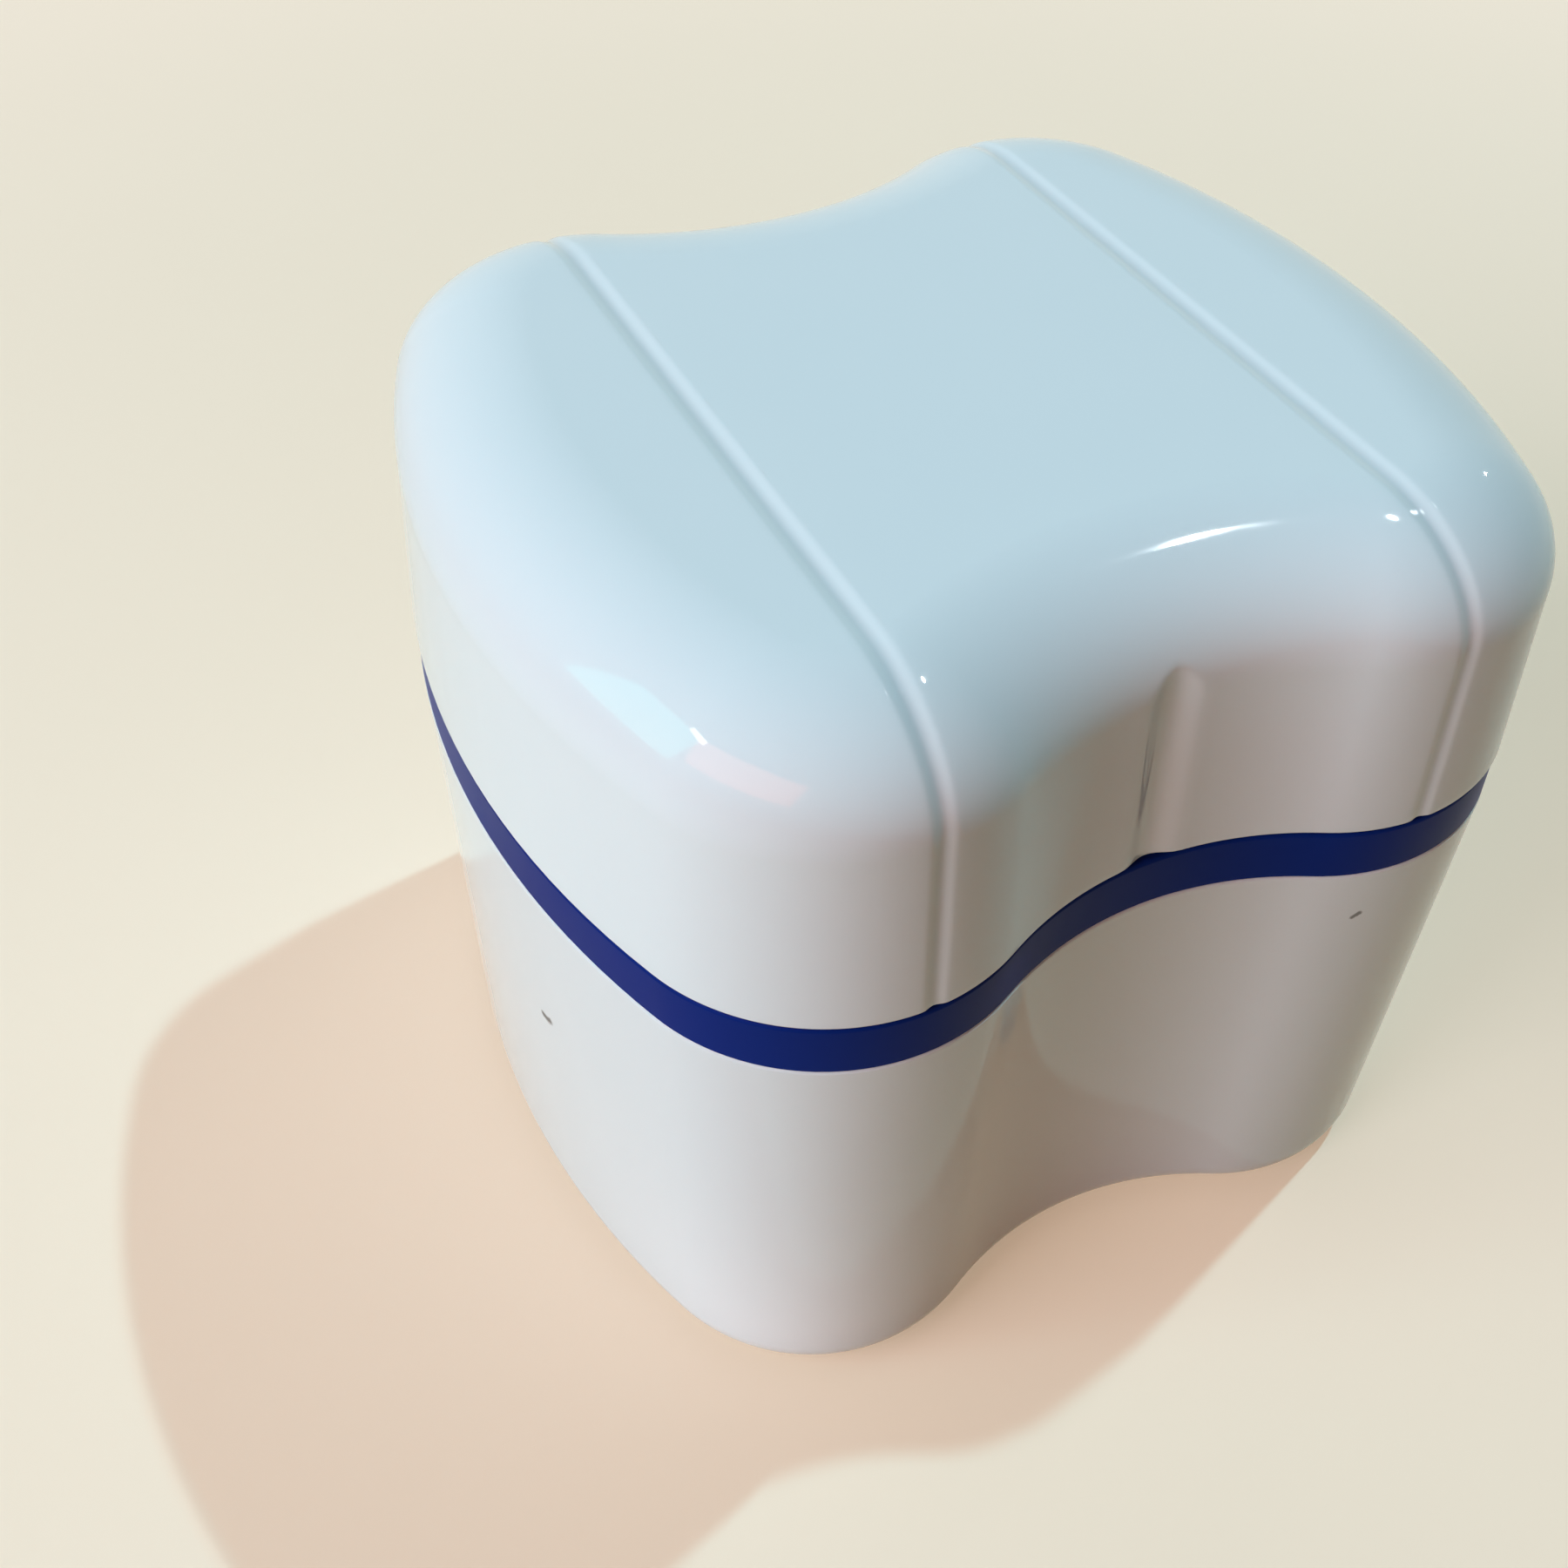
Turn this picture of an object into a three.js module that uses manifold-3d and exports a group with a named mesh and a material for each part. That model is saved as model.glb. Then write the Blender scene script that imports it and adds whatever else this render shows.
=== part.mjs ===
import * as THREE from "three";
import { mergeVertices } from "three/addons/utils/BufferGeometryUtils.js";
import Module from "manifold-3d";

// A denture case: a molar-shaped soaking tub with a lift-off lid, a blue rim band between the two,
// and a rinse basket with a folding bail inside.
// Millimetres, +Z up. The origin is the centre of the face the case stands on, and the front is -Y.

// Outline that the tub and the lid share, seen from above: bowed sides, round corners, drawn-in waists.
const caseWidth = 92;
const caseDepth = 83.8;
const waistBow = 5.6;
const sideRadius = 83.5;
const cornerRadius = 18.6;

// Heights of the closed case, from the table up.
const baseHeight = 49;
const bandSlot = 5.3;
const lidHeight = 25.8;

// Clearance between fitted pieces, overrun of every cutter, and the distance that merges two vertices.
const fitGap = 0.3;
const overrun = 1;
const weldLength = 0.0005;

// White shells.
const shellWall = 2;
const rimEdge = 0.3;
const baseDraft = 0.75;
const baseEdgeRadius = 4;
const baseFloor = 2.2;
const baseInnerRadius = 3;
const footWidth = 4.5;
const footRecess = 0.8;
const lidDraft = 1.5;
const lidTopWall = 2.2;
const lidShoulderReach = 12.7;
const lidShoulderDrop = 9.3;

// Grooves pressed into the lid: two long ones over the crown, a short one up each waist.
const grooveFromCrest = 0.3;
const grooveWidth = 2.6;
const grooveDepth = 0.7;
const waistGrooveWidth = 5.6;
const waistGrooveDepth = 0.55;

// Rim band: visible flange, neck inside the lid, spigot inside the tub and ledge for the basket.
const bandInset = 0.7;
const bandEdge = 0.3;
const bandWall = 1.3;
const neckHeight = 5;
const spigotDepth = 5;
const ledgeWidth = 1.3;

// Soft seal under a rib in the lid, over the band's neck.
const sealHeight = 1.2;
const sealWidth = 1.5;
const ribHeight = 1.5;

// Rinse basket, its drain holes and its side slots.
const basketWall = 1.3;
const basketFloor = 1.4;
const basketLipHeight = 1.7;
const basketDraft = 1.5;
const basketEdgeRadius = 5;
const sumpHeight = 4.8;
const drainDiameter = 5;
const drainPitch = 9.6;
const drainMargin = 1.2;
const slotWidth = 3;
const slotHeight = 22;
const slotRise = 10;
const slotCount = 24;

// Bail of the basket, its finger pad and studs, and the ears and rests that carry it. It clears the
// lid's ceiling where it stands, and the basket's front and back by a finger gap where it lies.
const bailWidth = 3.2;
const bailThickness = 2.2;
const bailBevel = 0.4;
const bailCornerRadius = 9;
const bailHeadroom = 2.8;
const bailFingerGap = 5;
const padLength = 20;
const padWidth = 5.2;
const padTaper = 3;
const studDiameter = 2;
const studLength = 2.3;
const earDiameter = 6.4;
const earDepth = 2.2;
const pivotDrop = 5;
const restLength = 4;
const restHeight = 3;
const restReachShare = 0.7;

// Facet counts.
const sideSteps = 8;
const cornerSteps = 10;
const waistSteps = 8;
const shoulderSteps = 6;
const edgeSteps = 4;
const grooveSides = 10;
const waistGrooveSides = 32;
const grooveSteps = 36;
const drainSides = 8;
const slotEndSteps = 2;
const earSides = 16;
const bailCornerSteps = 6;

// Centres and angles of the outline's arcs in the back right quarter.
const cornerY = caseDepth / 2 - cornerRadius;
const sideX = caseWidth / 2 - sideRadius;
const cornerX = sideX + Math.sqrt((sideRadius - cornerRadius) ** 2 - cornerY ** 2);
const sideAngle = Math.asin(cornerY / (sideRadius - cornerRadius));
const waistRise = cornerRadius - waistBow;
const waistRadius = (cornerX ** 2 + waistRise ** 2 - cornerRadius ** 2) / (2 * waistBow);
const waistY = caseDepth / 2 - waistBow + waistRadius;
const waistAngle = Math.atan2(cornerX, waistY - cornerY);

// Heights and insets that follow from the sizes above.
const lidRim = baseHeight + bandSlot;
const lidTop = lidRim + lidHeight;
const lidCeiling = lidTop - lidTopWall;
const shoulderHeight = lidTop - lidShoulderDrop;
const bandBottom = baseHeight + fitGap;
const bandTop = lidRim - fitGap;
const neckTop = bandTop + neckHeight;
const neckInset = lidInset(neckTop) + shellWall + fitGap + bandWall;
const ledgeInset = neckInset + ledgeWidth;
const spigotBottom = bandBottom - spigotDepth;
const sealBottom = neckTop + fitGap;
const sealTop = sealBottom + sealHeight;
const sealInset = lidInset(sealTop) + shellWall + fitGap;
const ribBottom = sealTop + fitGap;
const basketWallInset = ledgeInset + fitGap;
const basketLipBottom = bandTop + fitGap;
const basketMouth = basketLipBottom + basketLipHeight;
const basketBottom = baseFloor + sumpHeight;
const pivotHeight = basketMouth - pivotDrop;
const earWall = caseWidth / 2 - basketInset(pivotHeight) - basketWall;
const earFace = earWall - earDepth;
const bailHalfWidth = earFace - fitGap;
const standingReach = lidCeiling - bailHeadroom - pivotHeight;
const foldedReach = wallDepth(0, basketInset(pivotHeight) + basketWall) - bailFingerGap;
const bailReach = Math.min(standingReach, foldedReach);
const grooveX = cornerX - grooveFromCrest;
const grooveRadius = arcRadius(grooveWidth, grooveDepth);
const grooveStandoff = grooveRadius - grooveDepth;
const waistGrooveRadius = arcRadius(waistGrooveWidth, waistGrooveDepth);
const waistGrooveStandoff = waistGrooveRadius - waistGrooveDepth;

// Radius of an arc that is so wide and so deep.
function arcRadius(width, depth) {
  return ((width / 2) ** 2 + depth ** 2) / (2 * depth);
}

// How far the outer face of each drafted wall lies inside the shared outline at a height.
function baseInset(z) {
  return (baseDraft * (baseHeight - z)) / baseHeight;
}

function lidInset(z) {
  return (lidDraft * (z - lidRim)) / lidHeight;
}

function basketInset(z) {
  return basketWallInset + (basketDraft * (basketMouth - z)) / (basketMouth - basketBottom);
}

// The outline drawn in by an inset, counter-clockwise from the right side. An inset of an arc is an arc.
function outline(inset) {
  const side = sideRadius - inset;
  const corner = cornerRadius - inset;
  const waist = waistRadius + inset;
  const quarter = Math.PI / 2;
  const arcs = [
    [sideX, 0, side, -sideAngle, sideAngle, sideSteps],
    [cornerX, cornerY, corner, sideAngle, quarter + waistAngle, cornerSteps],
    [0, waistY, waist, waistAngle - quarter, -waistAngle - quarter, waistSteps],
    [-cornerX, cornerY, corner, quarter - waistAngle, Math.PI - sideAngle, cornerSteps],
    [-sideX, 0, side, Math.PI - sideAngle, Math.PI + sideAngle, sideSteps],
    [-cornerX, -cornerY, corner, Math.PI + sideAngle, 3 * quarter + waistAngle, cornerSteps],
    [0, -waistY, waist, quarter + waistAngle, quarter - waistAngle, waistSteps],
    [cornerX, -cornerY, corner, -quarter - waistAngle, -sideAngle, cornerSteps],
  ];
  return arcs.flatMap(([x, y, radius, start, end, steps]) => {
    const bendsInward = end < start;
    const arc = new THREE.EllipseCurve(x, y, radius, radius, start, end, bendsInward);
    return arc.getPoints(steps).slice(0, -1);
  });
}

// Distance from the middle plane to the front or back wall at x, for the outline drawn in by an inset.
function wallDepth(x, inset) {
  const across = Math.abs(x);
  const waist = waistRadius + inset;
  const corner = cornerRadius - inset;
  if (across < waist * Math.sin(waistAngle)) {
    return waistY - Math.sqrt(waist ** 2 - across ** 2);
  }
  if (across < cornerX + corner * Math.cos(sideAngle)) {
    return cornerY + Math.sqrt(corner ** 2 - (across - cornerX) ** 2);
  }
  return Math.sqrt((sideRadius - inset) ** 2 - (across - sideX) ** 2);
}

// Distance from the middle plane to a bowed side at y.
function wallReach(y, inset) {
  return sideX + Math.sqrt((sideRadius - inset) ** 2 - y ** 2);
}

function isInside(x, y, inset) {
  const across = Math.abs(x);
  const along = Math.abs(y);
  if (across < cornerX) {
    return along < wallDepth(across, inset);
  }
  if (along > cornerY) {
    return Math.hypot(across - cornerX, along - cornerY) < cornerRadius - inset;
  }
  return across < wallReach(along, inset);
}

// Surface through the outlines of a profile of [inset, height] points. The profile runs up the outside
// and down the inside. It is capped at both ends, or closes on itself where it makes a ring.
function loft(profile, isRing) {
  const rings = profile.map(([inset, z]) => outline(inset).map((p) => [p.x, p.y, z]));
  const count = rings[0].length;
  const spans = isRing ? rings.length : rings.length - 1;
  const index = [];
  for (let k = 0; k < spans; k++) {
    const here = k * count;
    const there = ((k + 1) % rings.length) * count;
    for (let j = 0; j < count; j++) {
      const next = (j + 1) % count;
      index.push(here + j, here + next, there + next);
      index.push(here + j, there + next, there + j);
    }
  }
  if (!isRing) {
    const last = spans * count;
    for (const [a, b, c] of THREE.ShapeUtils.triangulateShape(outline(profile[0][0]), [])) {
      index.push(a, c, b);
    }
    for (const [a, b, c] of THREE.ShapeUtils.triangulateShape(outline(profile[spans][0]), [])) {
      index.push(last + a, last + b, last + c);
    }
  }
  const geometry = new THREE.BufferGeometry();
  geometry.setAttribute("position", new THREE.Float32BufferAttribute(rings.flat(2), 3));
  geometry.setIndex(index);
  return geometry;
}

// A quarter of an ellipse between two profile points. It leaves the first one upright or level.
function bend([fromInset, fromZ], [toInset, toZ], steps, leavesUpright) {
  return Array.from({ length: steps + 1 }, (_, k) => {
    const angle = ((Math.PI / 2) * k) / steps;
    const eased = 1 - Math.cos(angle);
    const direct = Math.sin(angle);
    return [
      fromInset + (toInset - fromInset) * (leavesUpright ? eased : direct),
      fromZ + (toZ - fromZ) * (leavesUpright ? direct : eased),
    ];
  });
}

const wasm = await Module();
wasm.setup();

// A closed geometry as a solid that can be joined and cut.
function solidFrom(geometry) {
  const bare = geometry.clone();
  bare.deleteAttribute("normal");
  bare.deleteAttribute("uv");
  const merged = mergeVertices(bare, weldLength);
  return new wasm.Manifold(
    new wasm.Mesh({
      numProp: 3,
      vertProperties: merged.attributes.position.array,
      triVerts: new Uint32Array(merged.index.array),
    }),
  );
}

function geometryFrom(solid) {
  const mesh = solid.getMesh();
  const geometry = new THREE.BufferGeometry();
  geometry.setAttribute("position", new THREE.Float32BufferAttribute(mesh.vertProperties, 3));
  geometry.setIndex(Array.from(mesh.triVerts));
  return geometry;
}

function joined(geometries) {
  return geometries.map(solidFrom).reduce((sum, solid) => sum.add(solid));
}

// A round bar along X, its middle at a place.
function barAlongX(radius, length, x, y, z) {
  const bar = new THREE.CylinderGeometry(radius, radius, length, earSides);
  return bar.rotateZ(Math.PI / 2).translate(x, y, z);
}

// Tub: foot ring round a recess, rounded bottom edge, drafted wall and plain rim.
function makeTub() {
  const edge = [baseInset(baseEdgeRadius), baseEdgeRadius];
  const footInset = edge[0] + baseEdgeRadius;
  const recessInset = footInset + footWidth;
  const innerZ = baseFloor + baseInnerRadius;
  const innerInset = baseInset(innerZ) + shellWall;
  return loft(
    [
      [recessInset + footRecess, footRecess],
      [recessInset, 0],
      ...bend([footInset, 0], edge, edgeSteps, false),
      [baseInset(baseHeight - rimEdge), baseHeight - rimEdge],
      [rimEdge, baseHeight],
      [shellWall - rimEdge, baseHeight],
      [baseInset(baseHeight - rimEdge) + shellWall, baseHeight - rimEdge],
      ...bend([innerInset, innerZ], [innerInset + baseInnerRadius, baseFloor], edgeSteps, true),
    ],
    false,
  );
}

// Lid: flat ceiling, inner rib over the seal, bevelled rim, drafted skirt and wide rounded shoulder.
function lidShell() {
  const shoulderInset = lidInset(shoulderHeight);
  const crownInset = shoulderInset + lidShoulderReach;
  const ribInset = sealInset + sealWidth;
  const ribTop = ribBottom + ribHeight;
  return loft(
    [
      ...bend(
        [crownInset, lidCeiling],
        [shoulderInset + shellWall, shoulderHeight],
        shoulderSteps,
        false,
      ),
      [lidInset(ribTop) + shellWall, ribTop],
      [ribInset, ribTop],
      [ribInset, ribBottom],
      [lidInset(ribBottom) + shellWall, ribBottom],
      [lidInset(lidRim + rimEdge) + shellWall, lidRim + rimEdge],
      [shellWall - rimEdge, lidRim],
      [rimEdge, lidRim],
      [lidInset(lidRim + rimEdge), lidRim + rimEdge],
      ...bend([shoulderInset, shoulderHeight], [crownInset, lidTop], shoulderSteps, true),
    ],
    false,
  );
}

// Centre line of a groove's round cutter, up the front of the lid in the plane at x.
function grooveClimb(x, standoff) {
  const shoulderInset = lidInset(shoulderHeight);
  const climb = [
    [lidInset(lidRim - overrun) - standoff, lidRim - overrun],
    ...bend(
      [shoulderInset - standoff, shoulderHeight],
      [shoulderInset + lidShoulderReach, lidTop + standoff],
      shoulderSteps,
      true,
    ),
  ];
  return climb.map(([inset, z]) => new THREE.Vector3(x, -wallDepth(x, inset), z));
}

function mirroredFront(point) {
  return new THREE.Vector3(point.x, -point.y, point.z);
}

function roundCutter(radius, sides, path, steps) {
  const round = new THREE.EllipseCurve(0, 0, radius, radius).getPoints(sides).slice(0, -1);
  return new THREE.ExtrudeGeometry(new THREE.Shape(round), { steps, extrudePath: path });
}

// Long grooves run from rim to rim over the crown. The waist grooves run out in the shoulder.
function makeLid() {
  const cutters = [];
  for (const x of [-grooveX, grooveX]) {
    const climb = grooveClimb(x, grooveStandoff);
    const descent = climb.map(mirroredFront).reverse();
    const path = new THREE.CatmullRomCurve3([...climb, ...descent]);
    cutters.push(roundCutter(grooveRadius, grooveSides, path, grooveSteps));
  }
  const [foot, shoulder] = grooveClimb(0, waistGrooveStandoff);
  const runOut = shoulder.clone().sub(foot).setLength(lidShoulderDrop).add(shoulder);
  for (const ends of [[foot, runOut], [foot, runOut].map(mirroredFront)]) {
    const path = new THREE.LineCurve3(...ends);
    cutters.push(roundCutter(waistGrooveRadius, waistGrooveSides, path, 1));
  }
  const grooved = cutters.reduce((lid, cutter) => lid.subtract(solidFrom(cutter)), solidFrom(lidShell()));
  return geometryFrom(grooved);
}

// Rim band: spigot, flange that shows between the shells, neck, and the ledge round its inside.
function makeBand() {
  const spigotInset = baseInset(spigotBottom) + shellWall + fitGap;
  return loft(
    [
      [spigotInset, spigotBottom],
      [baseInset(bandBottom) + shellWall + fitGap, bandBottom],
      [bandInset + bandEdge, bandBottom],
      [bandInset, bandBottom + bandEdge],
      [bandInset, bandTop - bandEdge],
      [bandInset + bandEdge, bandTop],
      [lidInset(bandTop) + shellWall + fitGap, bandTop],
      [neckInset - bandWall, neckTop],
      [neckInset, neckTop],
      [neckInset, bandTop],
      [ledgeInset, bandTop],
      [ledgeInset, bandBottom],
      [spigotInset + bandWall, bandBottom],
      [spigotInset + bandWall, spigotBottom],
    ],
    true,
  );
}

function makeSeal() {
  return loft(
    [
      [sealInset, sealBottom],
      [sealInset, sealTop],
      [sealInset + sealWidth, sealTop],
      [sealInset + sealWidth, sealBottom],
    ],
    true,
  );
}

function basketShell() {
  const edge = [basketInset(basketBottom + basketEdgeRadius), basketBottom + basketEdgeRadius];
  const floorInset = edge[0] + basketEdgeRadius;
  const floorTop = basketBottom + basketFloor;
  const lipInset = neckInset + fitGap;
  return loft(
    [
      ...bend([floorInset, basketBottom], edge, edgeSteps, false),
      [basketInset(basketLipBottom), basketLipBottom],
      [lipInset, basketLipBottom],
      [lipInset, basketMouth],
      [basketWallInset + basketWall, basketMouth],
      ...bend([edge[0] + basketWall, edge[1]], [floorInset, floorTop], edgeSteps, true),
    ],
    false,
  );
}

// Staggered round holes over the flat of the basket's floor.
function drainCutters() {
  const radius = drainDiameter / 2;
  const length = basketFloor + 2 * overrun;
  const floorInset = basketInset(basketBottom) + basketEdgeRadius + radius + drainMargin;
  const rowPitch = (drainPitch * Math.sqrt(3)) / 2;
  const rows = Math.floor(caseDepth / 2 / rowPitch);
  const columns = Math.floor(caseWidth / 2 / drainPitch);
  const cutters = [];
  for (let row = -rows; row <= rows; row++) {
    const y = row * rowPitch;
    const shift = row % 2 === 0 ? 0 : drainPitch / 2;
    for (let column = -columns - 1; column <= columns; column++) {
      const x = column * drainPitch + shift;
      if (isInside(x, y, floorInset)) {
        const hole = new THREE.CylinderGeometry(radius, radius, length, drainSides);
        cutters.push(hole.rotateX(Math.PI / 2).translate(x, y, basketBottom + basketFloor / 2));
      }
    }
  }
  return cutters;
}

// Upright slots spread evenly round the basket's wall from the right side's middle, each cut square
// to the wall.
function slotCutters() {
  const middle = basketBottom + slotRise + slotHeight / 2;
  const wallLine = outline(basketInset(middle) + basketWall / 2);
  const fromSide = [...wallLine.slice(sideSteps / 2), ...wallLine.slice(0, sideSteps / 2)];
  const path = new THREE.CatmullRomCurve3(
    fromSide.map((p) => new THREE.Vector3(p.x, p.y, middle)),
    true,
  );
  const radius = slotWidth / 2;
  const straight = slotHeight / 2 - radius;
  const slot = new THREE.Shape();
  slot.absarc(0, straight, radius, 0, Math.PI);
  slot.absarc(0, -straight, radius, Math.PI, 2 * Math.PI);
  const depth = basketWall + basketDraft + 2 * overrun;
  return Array.from({ length: slotCount }, (_, k) => {
    const share = (k + 1 / 2) / slotCount;
    const along = path.getTangentAt(share);
    const upright = new THREE.Vector3(0, 0, 1);
    const outward = along.clone().cross(upright);
    const cutter = new THREE.ExtrudeGeometry(slot, {
      depth,
      bevelEnabled: false,
      curveSegments: slotEndSteps,
    });
    const place = new THREE.Matrix4().makeBasis(along, upright, outward);
    place.setPosition(path.getPointAt(share));
    return cutter.translate(0, 0, -depth / 2).applyMatrix4(place);
  });
}

// Wedges under the folded bail's arms, one on each side at the front and at the back.
function bailRests() {
  const top = pivotHeight - bailThickness / 2 - fitGap;
  const y = bailReach * restReachShare;
  const inner = bailHalfWidth - bailWidth;
  const outer = wallReach(y, basketInset(top) + basketWall / 2);
  const wedge = new THREE.Shape([
    new THREE.Vector2(inner, top),
    new THREE.Vector2(outer, top - restHeight - (outer - inner)),
    new THREE.Vector2(outer, top),
  ]);
  const rests = [];
  for (const turn of [0, Math.PI]) {
    for (const middle of [-y, y]) {
      const rest = new THREE.ExtrudeGeometry(wedge, { depth: restLength, bevelEnabled: false });
      rests.push(rest.rotateX(Math.PI / 2).translate(0, middle + restLength / 2, 0).rotateZ(turn));
    }
  }
  return rests;
}

// Basket: shell with a lip that hangs on the band's ledge, drains, slots, ears and rests.
function makeBasket() {
  const earLength = earDepth + basketWall / 2;
  const socketLength = overrun + studLength + fitGap;
  const socketRadius = studDiameter / 2 + fitGap;
  const ears = [];
  const sockets = [];
  for (const side of [-1, 1]) {
    const earX = side * (earFace + earLength / 2);
    const socketX = side * (earFace - overrun + socketLength / 2);
    ears.push(barAlongX(earDiameter / 2, earLength, earX, 0, pivotHeight));
    sockets.push(barAlongX(socketRadius, socketLength, socketX, 0, pivotHeight));
  }
  const body = joined([basketShell(), ...ears, ...bailRests()]);
  return geometryFrom(body.subtract(joined([...drainCutters(), ...slotCutters(), ...sockets])));
}

// Bail, folded towards the front with its pivot line on X: arms, round corners and a finger pad.
function makeBail() {
  const armX = bailHalfWidth - bailWidth / 2;
  const armRadius = bailWidth / 2;
  const innerX = bailHalfWidth - bailWidth;
  const bendX = bailHalfWidth - bailCornerRadius;
  const bendY = bailCornerRadius - bailReach;
  const innerY = bailWidth - bailReach;
  const padY = padWidth - bailReach;
  const innerRadius = bailCornerRadius - bailWidth;
  const shape = new THREE.Shape();
  shape.absarc(armX, 0, armRadius, 0, Math.PI);
  shape.lineTo(innerX, bendY);
  shape.absarc(bendX, bendY, innerRadius, 0, -Math.PI / 2, true);
  shape.lineTo(padLength / 2 + padTaper, innerY);
  shape.lineTo(padLength / 2, padY);
  shape.lineTo(-padLength / 2, padY);
  shape.lineTo(-padLength / 2 - padTaper, innerY);
  shape.lineTo(-bendX, innerY);
  shape.absarc(-bendX, bendY, innerRadius, -Math.PI / 2, -Math.PI, true);
  shape.lineTo(-innerX, 0);
  shape.absarc(-armX, 0, armRadius, 0, Math.PI);
  shape.lineTo(-bailHalfWidth, bendY);
  shape.absarc(-bendX, bendY, bailCornerRadius, Math.PI, (3 * Math.PI) / 2);
  shape.lineTo(bendX, -bailReach);
  shape.absarc(bendX, bendY, bailCornerRadius, -Math.PI / 2, 0);
  const flat = new THREE.ExtrudeGeometry(shape, {
    depth: bailThickness - 2 * bailBevel,
    bevelThickness: bailBevel,
    bevelSize: bailBevel,
    bevelOffset: -bailBevel,
    bevelSegments: 1,
    curveSegments: bailCornerSteps,
  });
  flat.translate(0, 0, bailBevel - bailThickness / 2);
  const studs = [-1, 1].map((side) => {
    const length = studLength + armRadius;
    return barAlongX(studDiameter / 2, length, side * (armX + length / 2), 0, 0);
  });
  return geometryFrom(joined([flat, ...studs]));
}

const whiteGloss = { color: "#eef2f5", roughness: 0.12, metalness: 0 };
const blueSatin = { color: "#0b2f96", roughness: 0.34, metalness: 0 };
const blueMesh = { color: "#1546ad", roughness: 0.3, metalness: 0 };
const whiteSatin = { color: "#e9edef", roughness: 0.3, metalness: 0 };
const clearRubber = { color: "#d5dbdc", roughness: 0.5, metalness: 0 };

function piece(name, geometry, finish) {
  const mesh = new THREE.Mesh(geometry, new THREE.MeshStandardMaterial(finish));
  mesh.name = name;
  return mesh;
}

const group = new THREE.Group();
group.add(piece("base_tub", makeTub(), whiteGloss));
group.add(piece("rim_band", makeBand(), blueSatin));
group.add(piece("rinse_basket", makeBasket(), blueMesh));
group.add(piece("lid_shell", makeLid(), whiteGloss));
group.add(piece("lid_seal", makeSeal(), clearRubber));

const bail = piece("basket_bail", makeBail(), whiteSatin);
bail.position.z = pivotHeight;
group.add(bail);

export default group;
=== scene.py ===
import math

import bmesh
import bpy
import numpy as np
from mathutils import Matrix, Vector
from mathutils.geometry import delaunay_2d_cdt


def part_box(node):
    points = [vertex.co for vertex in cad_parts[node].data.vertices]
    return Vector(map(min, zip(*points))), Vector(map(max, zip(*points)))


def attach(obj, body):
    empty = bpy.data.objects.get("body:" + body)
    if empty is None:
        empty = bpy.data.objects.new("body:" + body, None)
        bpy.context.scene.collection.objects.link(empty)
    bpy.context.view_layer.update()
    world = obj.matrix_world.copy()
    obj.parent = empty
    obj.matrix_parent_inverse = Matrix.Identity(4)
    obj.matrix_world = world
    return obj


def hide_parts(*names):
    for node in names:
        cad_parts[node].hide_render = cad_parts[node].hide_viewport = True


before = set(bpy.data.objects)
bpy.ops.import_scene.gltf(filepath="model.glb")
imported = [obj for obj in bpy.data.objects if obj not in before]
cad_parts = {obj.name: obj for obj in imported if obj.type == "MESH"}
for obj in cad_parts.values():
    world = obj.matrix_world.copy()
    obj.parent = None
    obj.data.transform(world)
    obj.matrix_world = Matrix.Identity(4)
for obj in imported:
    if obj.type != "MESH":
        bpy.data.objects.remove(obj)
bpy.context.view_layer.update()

# All sizes are in metres. The frame gives where each piece starts and ends.
mm = 0.001
base_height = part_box("base_tub")[1].z
lid_low, lid_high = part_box("lid_shell")
band_low, band_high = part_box("rim_band")
seal_low, seal_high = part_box("lid_seal")
basket_low, basket_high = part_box("rinse_basket")
bail_low, bail_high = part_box("basket_bail")

# Outline shared by tub and lid, seen from above.
case_width = 92 * mm
case_depth = 83.8 * mm
waist_bow = 5.6 * mm
side_radius = 83.5 * mm
corner_radius = 18.6 * mm

# White shells.
fit_gap = 0.3 * mm
shell_wall = 2 * mm
rim_round = 0.3 * mm
rim_stretch = 1 * mm
base_draft = 0.75 * mm
base_edge_radius = 4 * mm
base_floor = 2.2 * mm
base_inner_radius = 3 * mm
foot_width = 4.5 * mm
foot_recess = 0.8 * mm
foot_round = 0.3 * mm
foot_land = 0.2 * mm
lid_rim = lid_low.z
lid_top = lid_high.z
lid_draft = 1.5 * mm
lid_top_wall = 2.2 * mm
shoulder_reach = 12.7 * mm
shoulder_drop = 9.3 * mm
shoulder_height = lid_top - shoulder_drop
skirt_lead = 0.1 * mm

# Grooves pressed into the lid. The shares say how round their bottoms and shoulders are.
wall_groove_from_crest = 0.45 * mm
crown_groove_from_crest = 0.85 * mm
wall_groove_width = 1.85 * mm
wall_groove_depth = 0.28 * mm
crown_groove_width = 2.3 * mm
crown_groove_depth = 0.32 * mm
valley_bottom_share = 0.28
valley_shoulder_share = 0.25
waist_groove_width = 5.8 * mm
waist_groove_depth = 0.66 * mm
waist_groove_reach = 1.5 * mm
waist_groove_fade = 0.05 * mm
groove_rim_fade = 0.2 * mm
# Painted shade along the bottoms of the long grooves: full within the core, gone past the edge.
groove_shade_core = 0.1 * mm
groove_shade_edge = 0.8 * mm

# Rim band and seal.
band_foot_inset = 0.04 * mm
band_head_inset = 0.2 * mm
band_wall = 1.3 * mm
band_seat = 0.06 * mm
band_bottom = base_height + fit_gap
band_top = lid_rim - fit_gap
spigot_round = 0.3 * mm
flange_round = 0.15 * mm
neck_round = 0.35 * mm
ledge_width = 1.3 * mm
ledge_round = 0.2 * mm
seal_width = 1.5 * mm
seal_round = 0.45 * mm
rib_height = 1.5 * mm
rib_round = 0.3 * mm

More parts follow.
